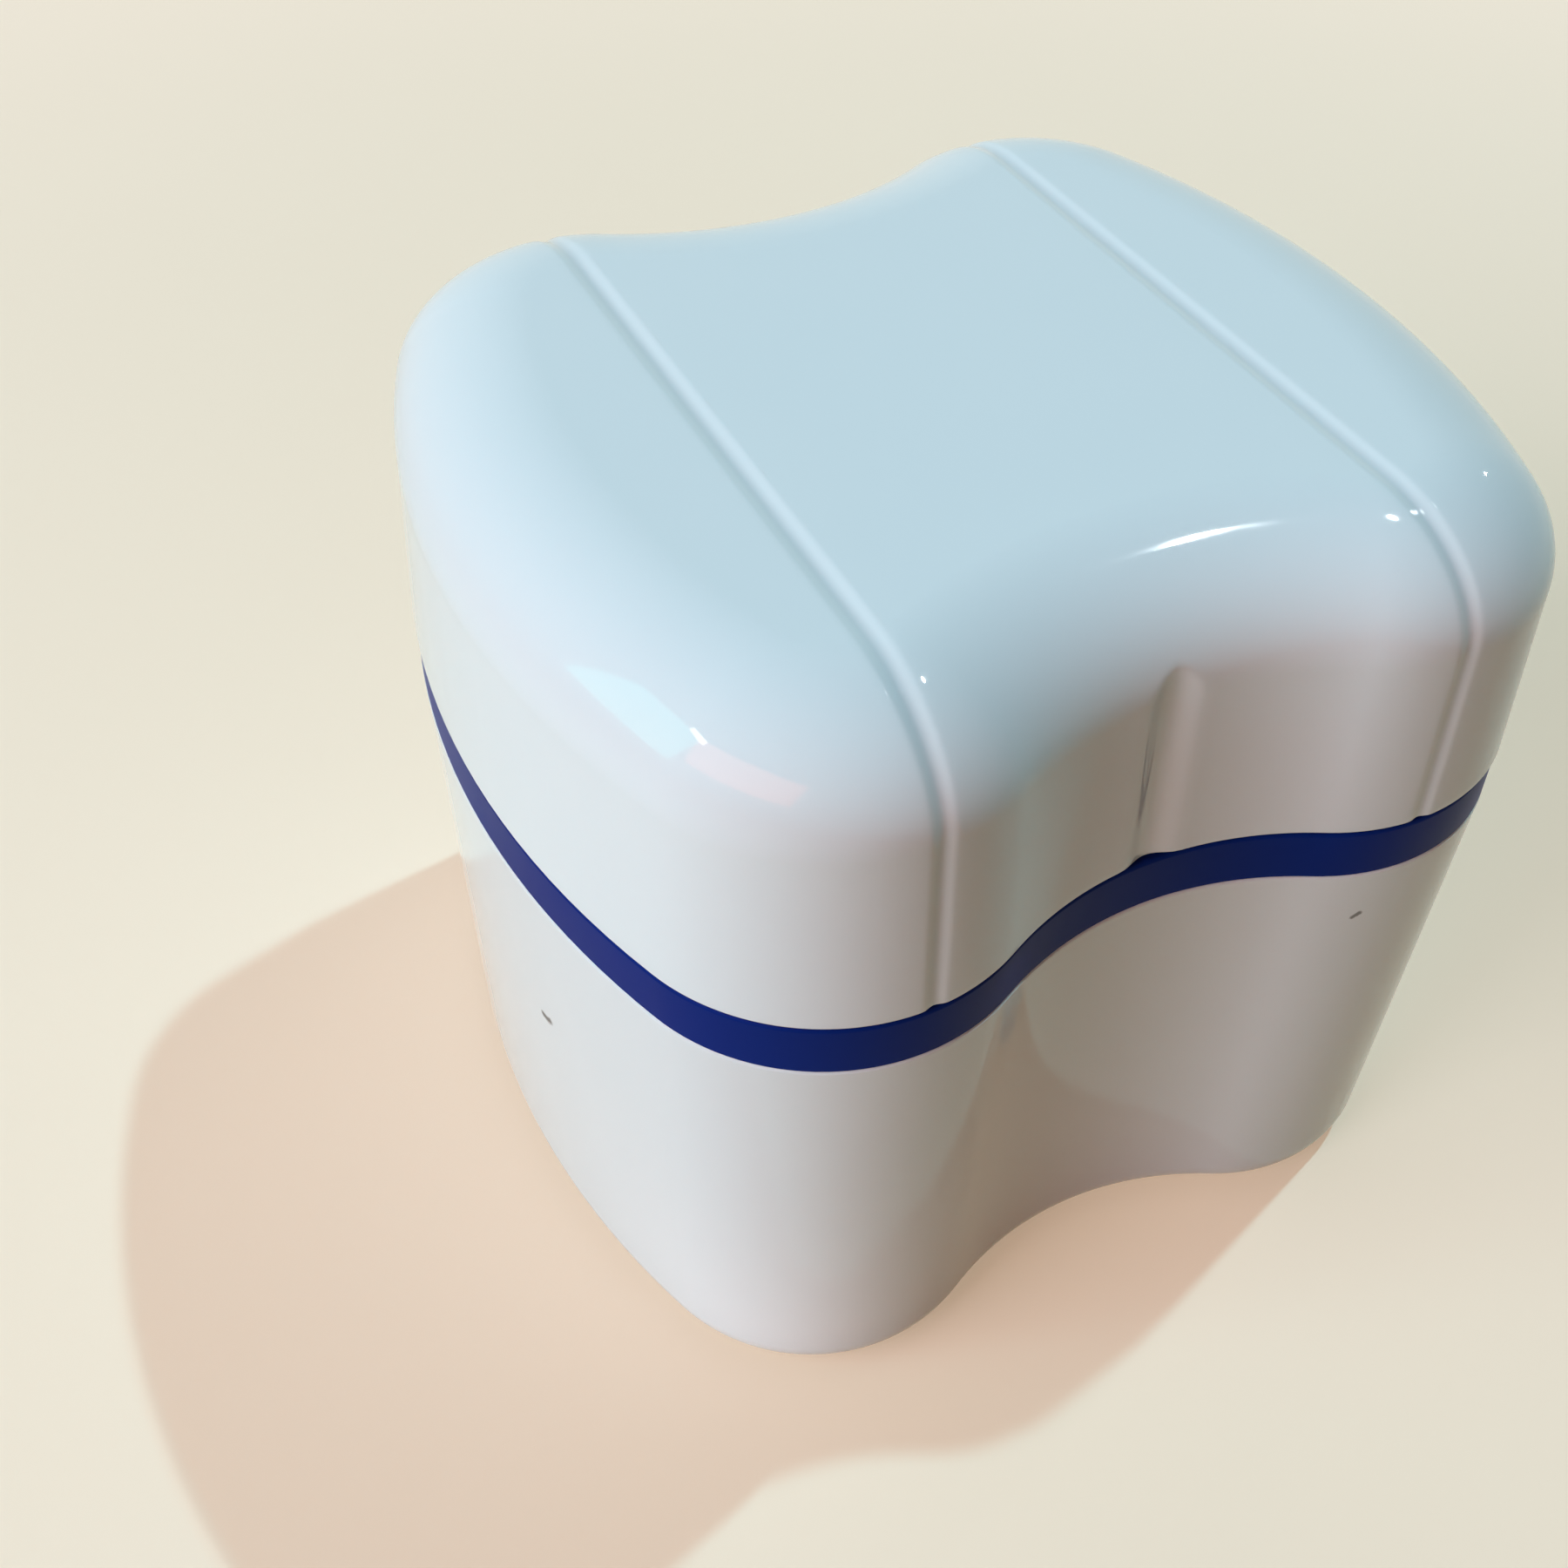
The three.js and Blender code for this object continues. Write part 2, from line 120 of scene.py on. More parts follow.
# Rinse basket.
basket_wall = 1.3 * mm
basket_floor = 1.4 * mm
basket_draft = 1.5 * mm
basket_edge_radius = 5 * mm
basket_lip_bottom = band_top + fit_gap
lip_under_round = 0.25 * mm
lip_outer_round = 0.45 * mm
lip_inner_round = 0.5 * mm
mouth_stretch = 2 * mm
drain_diameter = 5 * mm
drain_pitch = 9.6 * mm
drain_margin = 1.2 * mm
slot_width = 3 * mm
slot_height = 22 * mm
slot_rise = 10 * mm
slot_count = 24
slot_margin = 3 * mm
hole_round = 0.35 * mm
hole_margin = 0.35 * mm

# Bail, its studs, and the ears and rests that carry it.
bail_width = 3.2 * mm
bail_thickness = 2.2 * mm
bail_round = 0.7 * mm
bail_round_limit_share = 0.45
bail_corner_radius = 9 * mm
pad_length = 20 * mm
pad_width = 5.2 * mm
pad_taper = 3 * mm
pad_lead_far = 2 * mm
pad_lead_near = 0.4 * mm
bail_tip_width = 0.04 * mm
stud_diameter = 2 * mm
stud_length = 2.3 * mm
stud_round = 0.25 * mm
stud_bevel = 0.08 * mm
stud_root = 0.5 * mm
stud_root_taper = 0.2 * mm
ear_diameter = 6.4 * mm
ear_depth = 2.2 * mm
ear_round = 0.5 * mm
ear_round_shares = ((1, 0), (0.5, 0.12), (0.12, 0.5), (0, 1))
socket_depth = 2.1 * mm
socket_round = 0.2 * mm
socket_bevel = 0.06 * mm
rest_length = 4 * mm
rest_height = 3 * mm
rest_reach_share = 0.7
rest_round = 0.3 * mm
rest_bevel = 0.2 * mm
rest_bevel_share = 0.9

# Points closer than these are one point, in a mesh and in a flat panel.
weld_distance = 0.002 * mm
same_point = 1e-9


class Outline:
    """The outline seen from above: bowed sides, round lobes and drawn-in waists, all of arcs."""

    def __init__(self, width, depth, bow, side, corner):
        corner_y = depth / 2 - corner
        side_x = width / 2 - side
        self.corner_x = side_x + math.sqrt((side - corner) ** 2 - corner_y**2)
        self.side_angle = math.asin(corner_y / (side - corner))
        rise = corner - bow
        waist = (self.corner_x**2 + rise**2 - corner**2) / (2 * bow)
        waist_y = depth / 2 - bow + waist
        self.waist_angle = math.atan2(self.corner_x, waist_y - corner_y)
        self.side_x = side_x
        self.side = side
        quarter = [
            (side_x, 0, side, 0, self.side_angle),
            (self.corner_x, corner_y, corner, self.side_angle, math.pi / 2 + self.waist_angle),
            (0, waist_y, -waist, math.pi / 2 + self.waist_angle, math.pi / 2),
        ]
        back = quarter + [(-x, y, r, math.pi - b, math.pi - a) for x, y, r, a, b in quarter[::-1]]
        front = [(x, -y, r, 2 * math.pi - b, 2 * math.pi - a) for x, y, r, a, b in back[::-1]]
        self.arcs = np.array(back + front)

    def columns(self, side_shares, corner_shares, waist_shares):
        """Points and outward normals round the outline, counter-clockwise from the right side.

        The shares place them along each arc of the back right quarter. The others mirror it."""
        points, normals = [], []
        for arc, shares in zip(self.arcs[:3], (side_shares, corner_shares, waist_shares)):
            angle = arc[3] + (arc[4] - arc[3]) * np.array(shares)
            normal = np.column_stack([np.cos(angle), np.sin(angle)])
            points.append(arc[:2] + arc[2] * normal)
            normals.append(normal)
        loops = []
        for quarter in (np.vstack(points), np.vstack(normals)):
            back = np.vstack([quarter, quarter[-2::-1] * (-1, 1)])
            loops.append(np.vstack([back, back[-2:0:-1] * (1, -1)]))
        return loops

    def length(self, inset):
        """The length of the outline drawn in by an inset."""
        return (np.abs(self.arcs[:, 2] - inset) * np.abs(self.arcs[:, 4] - self.arcs[:, 3])).sum()

    def walk(self, distance, inset):
        """Points and outward normals at distances along the outline drawn in by an inset."""
        radius = self.arcs[:, 2] - inset
        lengths = np.abs(radius) * np.abs(self.arcs[:, 4] - self.arcs[:, 3])
        ends = np.cumsum(lengths)
        distance = np.asarray(distance, float) % ends[-1]
        k = np.minimum(np.searchsorted(ends, distance, side="right"), len(lengths) - 1)
        share = (distance - (ends[k] - lengths[k])) / lengths[k]
        angle = self.arcs[k, 3] + (self.arcs[k, 4] - self.arcs[k, 3]) * share
        normal = np.column_stack([np.cos(angle), np.sin(angle)])
        return self.arcs[k, :2] + self.arcs[k, 2][:, None] * normal, normal


def even(count):
    """Shares from 0 up to, but not including, 1: the next arc starts there."""
    return [k / count for k in range(count)]


def at_angles(arc, degrees):
    """Shares of an arc that lie at angles given in degrees."""
    return [(math.radians(a) - arc[3]) / (arc[4] - arc[3]) for a in degrees]


outline = Outline(case_width, case_depth, waist_bow, side_radius, corner_radius)
plain_columns = outline.columns(even(14), even(32), even(14) + [1])

# The lid's columns crowd together where its grooves run.
crest_angles = [*np.arange(24, 76, 2), *np.arange(76, 108, 0.8), *np.arange(108, 116.6, 1.2)]
waist_angles = [116, 114.5, *np.arange(113, 98, -1), *np.arange(98, 90, -0.5), 90]
lid_columns = outline.columns(
    even(12),
    [0] + at_angles(outline.arcs[1], crest_angles),
    [0] + at_angles(outline.arcs[2], waist_angles),
)


def ring(columns, inset, z):
    """The outline drawn in by an inset, at a height. Both may differ from column to column."""
    points, normals = columns
    inset = np.broadcast_to(inset, len(points))
    flat = points - normals * inset[:, None]
    return np.column_stack([flat, np.broadcast_to(z, len(points))])


def rounded(corners, closed=False, steps=5):
    """Profile through corners given as (inset, height, radius), with an arc for each corner."""
    path = []
    count = len(corners)
    for k, (inset, z, radius) in enumerate(corners):
        here = np.array([inset, z])
        if radius == 0 or (not closed and k in (0, count - 1)):
            path.append(here)
            continue
        before = np.array(corners[k - 1][:2]) - here
        after = np.array(corners[(k + 1) % count][:2]) - here
        before /= np.linalg.norm(before)
        after /= np.linalg.norm(after)
        half = math.acos(np.clip(before @ after, -1, 1)) / 2
        middle = (before + after) / np.linalg.norm(before + after)
        centre = here + middle * radius / math.sin(half)
        start = here + before * radius / math.tan(half) - centre
        end = here + after * radius / math.tan(half) - centre
        sweep = math.pi - 2 * half
        for share in np.linspace(0, 1, steps + 1):
            turn = np.sin((1 - share) * sweep) * start + np.sin(share * sweep) * end
            path.append(centre + turn / math.sin(sweep))
    return path


def bend(start, end, steps, leaves_upright):
    """A quarter of an ellipse between two points. It leaves the first one upright or level."""
    path = []
    for share in np.linspace(0, 1, steps + 1):
        eased = 1 - math.cos(share * math.pi / 2)
        direct = math.sin(share * math.pi / 2)
        across, up = (eased, direct) if leaves_upright else (direct, eased)
        path.append((start[0] + (end[0] - start[0]) * across, start[1] + (end[1] - start[1]) * up))
    return path


class Skin:
    """Vertices and faces of one piece while it is being put together."""

    def __init__(self):
        self.points = []
        self.faces = []
        self.count = 0

    def add(self, points):
        """Adds points and returns their numbers."""
        points = np.asarray(points, float).reshape(-1, 3)
        first = self.count
        self.points.append(points)
        self.count += len(points)
        return np.arange(first, self.count)

    def bridge(self, lower, upper):
        """Faces between two loops with as many points each."""
        for j in range(len(lower)):
            n = (j + 1) % len(lower)
            self.faces.append((lower[j], lower[n], upper[n], upper[j]))

    def loft(self, rings, closed=False):
        """Faces through a row of loops. Returns the first and the last loop."""
        loops = [self.add(points) for points in rings]
        for lower, upper in zip(loops, loops[1:]):
            self.bridge(lower, upper)
        if closed:
            self.bridge(loops[-1], loops[0])
        return loops[0], loops[-1]

    def span(self, loop, points, steps, upward=True):
        """Fills an outline loop with rows of faces that run straight from its back to its front."""
        half = len(loop) // 2
        rows = []
        for j in range(1, half):
            share = np.linspace(0, 1, steps + 1)[1:-1, None]
            across = points[j] * (1 - share) + points[len(loop) - j] * share
            rows.append([loop[j], *self.add(across), loop[len(loop) - j]])
        made = [(loop[0], *pair) for pair in zip(rows[0], rows[0][1:])]
        for right, left in zip(rows, rows[1:]):
            made += [(right[k + 1], right[k], left[k], left[k + 1]) for k in range(steps)]
        made += [(loop[half], b, a) for a, b in zip(rows[-1], rows[-1][1:])]
        made = [face[::-1] if len(face) == 3 else face for face in made]
        self.faces += made if upward else [face[::-1] for face in made]

    def turned(self, profile, origin, axis, steps=32):
        """A turned shape: (radius, distance along the axis) points spun round the axis."""
        axis = Vector(axis).normalized()
        across = axis.orthogonal().normalized()
        other = axis.cross(across)
        angles = np.linspace(0, 2 * math.pi, steps, endpoint=False)
        spokes = np.outer(np.cos(angles), across) + np.outer(np.sin(angles), other)
        centres = [np.array(origin) + np.array(axis) * along for _, along in profile]
        loops = [self.add(c + spokes * radius) for c, (radius, _) in zip(centres, profile)]
        for lower, upper in zip(loops, loops[1:]):
            self.bridge(lower, upper)
        self.faces.append(tuple(loops[0][::-1]))
        self.faces.append(tuple(loops[-1]))

    def pierced(self, place, border, inner, holes, thickness, round_edge):
        """A wall or floor with rounded holes.

        place maps flat points and a depth below the face to space. border is a closed loop of
        flat points, and inner are points that keep the faces small. Each hole is a function
        from an offset to its loop."""
        loops = [border] + [hole(round_edge) for hole in holes]
        keep_clear = [hole(round_edge + hole_margin) for hole in holes]
        free = [p for p in inner if not any(is_within(p, loop) for loop in keep_clear)]
        flat = [Vector(p) for loop in loops for p in loop] + [Vector(p) for p in free]
        edges = []
        first = 0
        for loop in loops:
            edges += [(first + j, first + (j + 1) % len(loop)) for j in range(len(loop))]
            first += len(loop)
        found, _, triangles, *_ = delaunay_2d_cdt(flat, edges, [], 0, same_point)
        found = np.array(found)
        middles = np.array([found[list(t)].mean(0) for t in triangles])
        inside = within_loop(middles, np.array(border))
        for loop in loops[1:]:
            inside &= ~within_loop(middles, np.array(loop))
        for depth, flip in ((0, False), (thickness, True)):
            numbers = self.add(place(found, depth))
            for keep, triangle in zip(inside, triangles):
                if keep:
                    face = tuple(numbers[list(triangle)])
                    self.faces.append(face[::-1] if flip else face)
        quarter = [math.radians(a) for a in (0, 30, 60, 90)]
        down = [(round_edge * (1 - math.sin(a)), round_edge * (1 - math.cos(a))) for a in quarter]
        steps = down + [(offset, thickness - depth) for offset, depth in down[::-1]]
        for hole in holes:
            self.loft([place(np.array(hole(offset)), depth) for offset, depth in steps])

    def piece(self, name, node, body, finish, sharp_degrees=40, weighted=True):
        """Makes the mesh object, which takes its CAD node's place on its body."""
        mesh = bpy.data.meshes.new(name)
        faces = [list(map(int, face)) for face in self.faces]
        mesh.from_pydata(np.vstack(self.points).tolist(), [], faces)
        work = bmesh.new()
        work.from_mesh(mesh)
        bmesh.ops.remove_doubles(work, verts=work.verts, dist=weld_distance)
        bmesh.ops.recalc_face_normals(work, faces=work.faces)
        work.to_mesh(mesh)
        work.free()
        mesh.polygons.foreach_set("use_smooth", [True] * len(mesh.polygons))
        mesh.set_sharp_from_angle(angle=math.radians(sharp_degrees))
        mesh.materials.append(finish)
        made = bpy.data.objects.new(name, mesh)
        bpy.context.scene.collection.objects.link(made)
        if weighted:
            normals = made.modifiers.new("even_normals", "WEIGHTED_NORMAL")
            normals.keep_sharp = True
        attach(made, body)
        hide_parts(node)
        return made


def within_loop(points, loop):
    """Which points lie inside a closed loop."""
    ahead = np.roll(loop, -1, axis=0)
    x, y = points[:, 0][:, None], points[:, 1][:, None]
    crosses = (loop[:, 1] > y) != (ahead[:, 1] > y)
    rise = np.where(ahead[:, 1] == loop[:, 1], 1, ahead[:, 1] - loop[:, 1])
    hits = crosses & (x < loop[:, 0] + (y - loop[:, 1]) * (ahead[:, 0] - loop[:, 0]) / rise)
    return hits.sum(1) % 2 == 1


def is_within(point, loop):
    """Whether one point lies inside a closed loop."""
    return bool(within_loop(np.array([point]), np.array(loop))[0])


# Insets of the drafted walls.
def base_inset(z):
    return base_draft * (base_height - z) / base_height


def lid_inset(z):
    return lid_draft * (z - lid_rim) / (lid_top - lid_rim)


neck_top = band_high.z
neck_inset = lid_inset(neck_top) + shell_wall + fit_gap + band_wall
ledge_inset = neck_inset + ledge_width
basket_wall_inset = ledge_inset + fit_gap
basket_mouth = basket_high.z
basket_bottom = basket_low.z
pivot_height = (bail_low.z + bail_high.z) / 2


def basket_inset(z):
    return basket_wall_inset + basket_draft * (basket_mouth - z) / (basket_mouth - basket_bottom)


def side_reach(y, inset):
    """Distance from the middle to a bowed side at y."""
    return outline.side_x + math.sqrt((outline.side - inset) ** 2 - y**2)


class Signal:
    """A number, colour or place that varies over a surface. Sums on numbers add Math nodes."""

    def __init__(self, finish, socket):
        self.finish = finish
        self.socket = socket

    def maths(self, operation, first, second=0, clamp=False):
        settings = {"operation": operation, "use_clamp": clamp}
        return self.finish.node("ShaderNodeMath", settings, {0: first, 1: second})

    def __add__(self, other):
        return self.maths("ADD", self, other)

    def __radd__(self, other):
        return self.maths("ADD", other, self)

    def __sub__(self, other):
        return self.maths("SUBTRACT", self, other)

    def __rsub__(self, other):
        return self.maths("SUBTRACT", other, self)

    def __mul__(self, other):
        return self.maths("MULTIPLY", self, other)

    def __rmul__(self, other):
        return self.maths("MULTIPLY", other, self)

    def __truediv__(self, other):
        return self.maths("DIVIDE", self, other)

    def __pow__(self, other):
        return self.maths("POWER", self, other)

    def between(self, low, high, rise="SMOOTHSTEP"):
        """0 at low and 1 at high. The rise between them is smooth, or straight if LINEAR."""
        settings = {"interpolation_type": rise}
        return self.finish.node("ShaderNodeMapRange", settings, {"Value": self, 1: low, 2: high})

    def larger(self, other):
        return self.maths("MAXIMUM", self, other)


class Finish:
    """A material or world while its nodes are being put together."""

    def __init__(self, owner):
        owner.use_nodes = True
        self.owner = owner
        self.tree = owner.node_tree
        self.tree.nodes.clear()

    def node(self, kind, settings=None, values=None, out=0):
        """Adds a node, with its settings first and then its sockets. Returns one of its outputs."""
        node = self.tree.nodes.new(kind)
        for key, value in (settings or {}).items():
            setattr(node, key, value)
        for key, value in (values or {}).items():
            if isinstance(value, Signal):
                self.tree.links.new(value.socket, node.inputs[key])
            else:
                node.inputs[key].default_value = value
        return Signal(self, node.outputs[out]) if node.outputs else node

    def place(self):
        """Where on the piece a point is, in metres."""
        return self.node("ShaderNodeTexCoord", out="Object")

    def noise(self, place, size, detail=2, stretch=(1, 1, 1)):
        """Soft noise with features of about a size in metres, 0 to 1."""
        scale = [s / size for s in stretch]
        spread = self.node("ShaderNodeVectorMath", {"operation": "MULTIPLY"}, {0: place, 1: scale})
        values = {"Vector": spread, "Scale": 1, "Detail": detail}
        return self.node("ShaderNodeTexNoise", None, values)

    def blend(self, factor, first, second):
        """A colour between two colours."""
        values = {0: factor, 6: first, 7: second}
        return self.node("ShaderNodeMix", {"data_type": "RGBA"}, values, out=2)

    def bump(self, height, depth, beneath=None):
        """Relief: height runs from 0 to 1, and depth is what that is in metres."""
        values = {"Strength": 1, "Distance": depth, "Height": height}
        if beneath:
            values["Normal"] = beneath
        return self.node("ShaderNodeBump", None, values)

    def distance(self, place, start, end):
        """Distance from a short straight mark between two points."""
        start, end = Vector(start), Vector(end)
        along = end - start
        offset = self.node("ShaderNodeVectorMath", {"operation": "SUBTRACT"}, {0: place, 1: start})
        share = self.node(
            "ShaderNodeVectorMath", {"operation": "DOT_PRODUCT"}, {0: offset, 1: along}, out="Value"
        )
        held = share.maths("MULTIPLY", share, 1 / along.length_squared, clamp=True)
        nearest = self.node(
            "ShaderNodeVectorMath", {"operation": "SCALE"}, {0: along, "Scale": held}
        )
        return self.node(
            "ShaderNodeVectorMath", {"operation": "DISTANCE"}, {0: offset, 1: nearest}, out="Value"
        )

    def plastic(self, tint, roughness, relief, ior=1.5, gloss=0.5):
        """Makes the finish a solid plastic or rubber. Returns the material."""
        values = {"Base Color": tint, "Roughness": roughness, "Normal": relief}
        values.update({"IOR": ior, "Specular IOR Level": gloss})
        return self.surface(self.node("ShaderNodeBsdfPrincipled", None, values))

    def surface(self, shader):
        """Makes the shader the material's surface. Returns the material."""
        self.node("ShaderNodeOutputMaterial", None, {"Surface": shader})
        return self.owner


def colour(red, green, blue):
    """An opaque colour, as a socket takes it."""
    return (red, green, blue, 1)


# Colours of the pieces. A pair holds a finish's deeper and lighter patches.
shell_white = (colour(0.795, 0.835, 0.86), colour(0.83, 0.855, 0.875))
band_blue = (colour(0.002, 0.015, 0.15), colour(0.003, 0.022, 0.2))
basket_blue = (colour(0.01, 0.06, 0.3), colour(0.016, 0.09, 0.38))
bail_white = (colour(0.78, 0.8, 0.81), colour(0.83, 0.845, 0.85))
seal_milk = (colour(0.6, 0.65, 0.66), colour(0.72, 0.76, 0.77))
stain_brown = colour(0.09, 0.07, 0.06)
# Grey that paints shade into the bottoms of the lid's long grooves.
groove_shade_grey = colour(0.66, 0.7, 0.74)


# Mask for the painted shade that darkens the bottoms of the lid's long grooves.
def groove_shade_mask(finish, place):
    """How near a place on the lid is to the bottom of a long groove, 0 to 1.

    The groove moves towards the middle as the wall turns into the crown, as its solid form does."""
    across = finish.node("ShaderNodeSeparateXYZ", None, {"Vector": place}, out="X")
    height = finish.node("ShaderNodeSeparateXYZ", None, {"Vector": place}, out="Z")
    climb = height.between(shoulder_height, lid_top, "LINEAR")
    level = shoulder_drop**2 * (1 - climb * climb)
    upright = (level / (level + shoulder_reach**2 * (climb * climb))) ** 0.5
    crown_x = outline.corner_x - crown_groove_from_crest
    line = crown_x + (crown_groove_from_crest - wall_groove_from_crest) * upright
    away = across.maths("ABSOLUTE", across.maths("ABSOLUTE", across) - line)
    return 1 - away.between(groove_shade_core, groove_shade_edge)


def white_gloss(name, marks=(), grooved=False):
    """Polished white plastic: faint waviness of the mould, hardly any grain, and marks of use.

    Each mark has a start, an end and a width. A grooved shell gets painted shade, a grey
    darkening along the bottoms of its long grooves."""
    finish = Finish(bpy.data.materials.new(name))
    place = finish.place()
    cloud = finish.noise(place, 26 * mm, detail=3)
    swell = finish.noise(place, 9 * mm, detail=1)
    grain = finish.noise(place, 0.5 * mm)
    haze = finish.noise(place, 6 * mm, detail=4, stretch=(1, 1, 0.3))
    tint = finish.blend(cloud, *shell_white)
    roughness = 0.03 + 0.015 * cloud + 0.03 * haze.between(0.45, 0.8) + 0.008 * grain
    stain = None
    for start, end, width in marks:
        ragged = finish.noise(place, 0.8 * mm) - 0.5
        gap = finish.distance(place, start, end) + ragged * (width * 1.2)
        mark = 1 - gap.between(width * 0.3, width * 0.8)
        stain = mark if stain is None else stain.larger(mark)
    if stain is not None:
        tint = finish.blend(stain * 0.85, tint, stain_brown)
        roughness = roughness + stain * 0.4
    # Painted shade: the bottoms of the long grooves are greyed so that they read darker.
    if grooved:
        tint = finish.blend(groove_shade_mask(finish, place) * 0.5, tint, groove_shade_grey)
    relief = finish.bump(swell, 0.012 * mm)
    relief = finish.bump(grain, 0.0006 * mm, relief)
    return finish.plastic(tint, roughness, relief)


def blue_plastic(name, tints, sheen, gloss=0.5):
    """Moulded blue plastic with a satin skin, slightly uneven in colour.

    The sheen is its least roughness, and the gloss how strongly it mirrors."""
    finish = Finish(bpy.data.materials.new(name))
    place = finish.place()
    cloud = finish.noise(place, 14 * mm, detail=3)
    grain = finish.noise(place, 0.35 * mm, detail=3)
    rub = finish.noise(place, 8 * mm, stretch=(1, 1, 1.5))
    tint = finish.blend(0.88 * cloud + 0.12 * grain, *tints)
    roughness = sheen + 0.05 * cloud + 0.03 * rub.between(0.4, 0.8)
    return finish.plastic(tint, roughness, finish.bump(grain, 0.001 * mm), gloss=gloss)


def white_satin(name):
    """Moulded white plastic of the bail: satin, with a fine grain."""
    finish = Finish(bpy.data.materials.new(name))
    place = finish.place()
    cloud = finish.noise(place, 10 * mm, detail=3)
    grain = finish.noise(place, 0.3 * mm)
    tint = finish.blend(cloud, *bail_white)
    return finish.plastic(tint, 0.28 + 0.08 * cloud, finish.bump(grain, 0.003 * mm))


def milky_rubber(name):
    """Soft seal: milky, dull, with a faint dusting."""
    finish = Finish(bpy.data.materials.new(name))
    place = finish.place()
    cloud = finish.noise(place, 7 * mm, detail=3)
    dust = finish.noise(place, 0.4 * mm, detail=3)
    tint = finish.blend(0.6 * cloud + 0.4 * dust, *seal_milk)
    return finish.plastic(tint, 0.5 + 0.15 * dust, finish.bump(dust, 0.006 * mm), ior=1.41)


def make_tub(finish):
    """Tub: foot ring round a recess, rounded edge, drafted wall, rounded rim and inner floor."""
    edge = (base_inset(base_edge_radius), base_edge_radius)
    foot = edge[0] + base_edge_radius
    recess = foot + foot_width
    inner_start = base_floor + base_inner_radius
    inner = (base_inset(inner_start) + shell_wall, inner_start)
    below = rounded(
        [
            (recess + foot_recess, foot_recess, 0),
            (recess, 0, foot_round),
            (foot + foot_land, 0, 0),
        ]
    )
    rim_start = base_height - rim_stretch
    outside = bend((foot, 0), edge, steps=10, leaves_upright=False)
    climb = [(base_inset(z), z) for z in np.linspace(base_edge_radius, rim_start, 14)[1:]]
    rim = rounded(
        [
            (base_inset(rim_start), rim_start, 0),
            (0, base_height, rim_round),
            (shell_wall, base_height, rim_round),
            (base_inset(rim_start) + shell_wall, rim_start, 0),
        ]
    )[1:]
    inside = bend(inner, (inner[0] + base_inner_radius, base_floor), steps=8, leaves_upright=True)
    skin = Skin()
    rings = [ring(plain_columns, *p) for p in below + outside + climb + rim + inside]
    first, last = skin.loft(rings)
    skin.span(first, rings[0], steps=18, upward=False)
    skin.span(last, rings[-1], steps=18)
    return skin.piece("tub", "base_tub", "tub", finish)


def straight_valley(x, width):
    """Share of a long groove's depth, across it: straight flanks, round bottom, soft shoulders."""
    bottom = valley_bottom_share
    shoulder = valley_shoulder_share
    share = np.abs(x) / (width / 2)
    fall = 1 - (np.sqrt(share**2 + bottom**2) - bottom) / (math.sqrt(1 + bottom**2) - bottom)
    return (fall + np.sqrt(fall**2 + shoulder**2)) / (1 + math.sqrt(1 + shoulder**2))


def round_valley(x):
    """Share of the waist groove's depth, across it: one smooth wave."""
    share = np.clip(np.abs(x) / (waist_groove_width / 2), 0, 1)
    return (1 + np.cos(math.pi * share)) / 2


